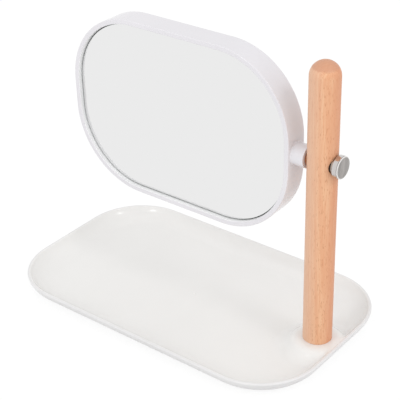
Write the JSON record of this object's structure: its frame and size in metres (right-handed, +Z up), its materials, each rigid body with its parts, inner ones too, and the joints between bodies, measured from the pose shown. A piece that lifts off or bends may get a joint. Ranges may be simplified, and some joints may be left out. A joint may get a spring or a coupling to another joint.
{
  "type": "tabletop vanity mirror with storage tray",
  "caption": "Dished rectangular tray with a wooden post at one end and a rounded-rectangle mirror clamped beside the post, turning about a knob's stud.",
  "frame": {"origin": "centre of the tray's outline, on the plane that the foot pads stand on", "axes": "+X along the tray towards the post, -Y the side that the glass faces, +Z up"},
  "size_m": [0.2494, 0.148, 0.215],
  "materials": {
    "white_moulding": "injection-moulded ABS, high gloss",
    "beech": "turned beech, fine-sanded, clear matt lacquer",
    "mirror_glass": "2 mm float glass, silvered on the back, front edge bevelled",
    "polished_chrome": "chrome plate, polished side, brushed face",
    "zinc_steel": "bright zinc-plated steel",
    "brass": "turned brass",
    "pad_rubber": "grey TPE, matt",
    "fibre_washer": "natural vulcanised fibre, matt",
    "black_steel": "steel, brown-black oxide",
    "foam_tape": "closed-cell foam tape"
  },
  "bodies": {
    "stand": {"tray": "white_moulding", "foot_pad_1": "pad_rubber", "foot_pad_2": "pad_rubber", "foot_pad_3": "pad_rubber", "foot_pad_4": "pad_rubber", "post": "beech", "post_insert": "brass", "post_screw": "zinc_steel", "post_screw_washer": "zinc_steel", "locating_pin": "zinc_steel", "friction_washer": "fibre_washer"},
    "mirror": {"mirror_housing": "white_moulding", "mirror_glass": "mirror_glass", "back_cover": "white_moulding", "cover_screw_1": "zinc_steel", "cover_screw_2": "zinc_steel", "cover_screw_3": "zinc_steel", "cover_screw_4": "zinc_steel", "foam_tape_1": "foam_tape", "foam_tape_2": "foam_tape", "foam_tape_3": "foam_tape", "neck_insert": "brass"},
    "clamp_washer": {"knob_washer": "black_steel"},
    "knob": {"knob_head": "polished_chrome", "clamp_stud": "zinc_steel"}
  },
  "joints": [
    {"name": "mirror_tilt", "type": "hinge", "parent": "stand", "child": "mirror", "pos_m": [0.0964, 0, 0.1469], "axis": [1, 0, 0], "continuous": true},
    {"name": "knob_travel", "type": "slide", "parent": "mirror", "child": "clamp_washer", "axis": [1, 0, 0], "range_m": [0, 0.0016]},
    {"name": "knob_turn", "type": "hinge", "parent": "clamp_washer", "child": "knob", "pos_m": [0.1174, 0, 0.1469], "axis": [1, 0, 0], "range_deg": [0, 720]}
  ],
  "couplings": [
    {"joint": "knob_travel", "follows": "knob_turn", "m_per_rad": 0.00012732}
  ]
}
